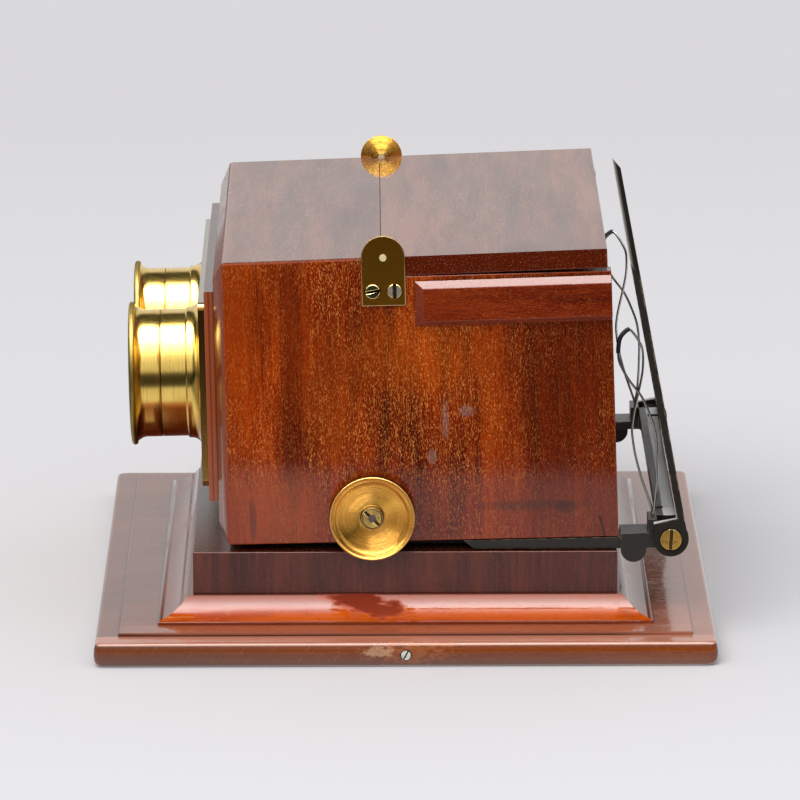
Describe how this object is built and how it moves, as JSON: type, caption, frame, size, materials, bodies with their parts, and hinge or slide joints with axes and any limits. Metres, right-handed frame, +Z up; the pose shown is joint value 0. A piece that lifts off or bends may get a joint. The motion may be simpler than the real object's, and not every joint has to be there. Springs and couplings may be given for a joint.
{
  "type": "stereoscope",
  "caption": "Table stereoscope: a wooden viewing box with brass eyepieces and a hinged mirror lid, tilting on a moulded stand, with rack focusing and a sprung card frame.",
  "frame": {"origin": "centre of the underside of the base board", "axes": "+Z up, +X from the eyepieces towards the card frame, +Y to the left of someone looking through it"},
  "size_m": [0.2186, 0.2712, 0.1463],
  "materials": {
    "mahogany": "french polished red-brown mahogany",
    "dark_mahogany": "satin dark mahogany",
    "brass": "lacquered, polished",
    "steel": "bright, slightly dulled",
    "black_lacquer": "black lacquered brass, worn at the edges",
    "lens_glass": "clear, polished",
    "mirror": "silvered glass"
  },
  "bodies": {
    "base": {"base_board": "mahogany", "cove_moulding": "mahogany", "plinth": "dark_mahogany", "edge_screw": "steel", "rest_strips": "dark_mahogany", "hinge_leaf_lower": "brass", "hinge_pin": "steel"},
    "box": {"floor_board": "dark_mahogany", "right_side": "mahogany", "left_side": "mahogany", "front_board": "mahogany", "front_panel": "mahogany", "top_board": "mahogany", "septum": "dark_mahogany", "right_batten": "mahogany", "left_batten": "mahogany", "right_pivot_plate": "brass", "left_pivot_plate": "brass", "plate_screws": "steel", "lid_pins": "brass", "eyepiece_plate": "brass", "right_mount": "brass", "left_mount": "brass", "right_eye_cup": "brass", "left_eye_cup": "brass", "right_lens": "lens_glass", "left_lens": "lens_glass", "lens_rings": "black_lacquer", "hinge_leaf_upper": "brass", "shaft_bushes": "brass", "arm_guides": "brass"},
    "lid": {"lid_board": "mahogany", "lid_mirror": "mirror", "mirror_clips": "brass", "lid_ears": "brass"},
    "focus": {"focus_shaft": "steel", "right_pinion": "brass", "left_pinion": "brass", "right_knob": "brass", "left_knob": "brass", "knob_nuts": "brass"},
    "carriage": {"right_arm": "black_lacquer", "left_arm": "black_lacquer", "right_bracket": "black_lacquer", "left_bracket": "black_lacquer", "card_ledge": "black_lacquer", "right_spring": "steel", "left_spring": "steel", "spring_sleeves": "black_lacquer", "frame_screws": "brass"},
    "card_frame": {"card_frame": "black_lacquer"}
  },
  "joints": [
    {"name": "box_tilt", "type": "hinge", "parent": "base", "child": "box", "pos_m": [-0.05908, 0, 0.03409], "axis": [0, -1, 0], "range_deg": [0, 30]},
    {"name": "lid_hinge", "type": "hinge", "parent": "box", "child": "lid", "pos_m": [-0.00757, 0, 0.13857], "axis": [0, -1, 0], "range_deg": [-0.75, 100]},
    {"name": "focus_slide", "type": "slide", "parent": "box", "child": "carriage", "axis": [0.9998, 0, 0.0201], "range_m": [0, 0.02]},
    {"name": "knob_turn", "type": "hinge", "parent": "box", "child": "focus", "pos_m": [-0.01161, 0, 0.04602], "axis": [0, -1, 0], "range_deg": [0, 107]},
    {"name": "frame_fold", "type": "hinge", "parent": "carriage", "child": "card_frame", "pos_m": [0.09378, 0, 0.03768], "axis": [0, 1, 0], "range_deg": [0, 80]}
  ],
  "couplings": [
    {"joint": "knob_turn", "follows": "focus_slide", "rad_per_m": 93.023}
  ]
}
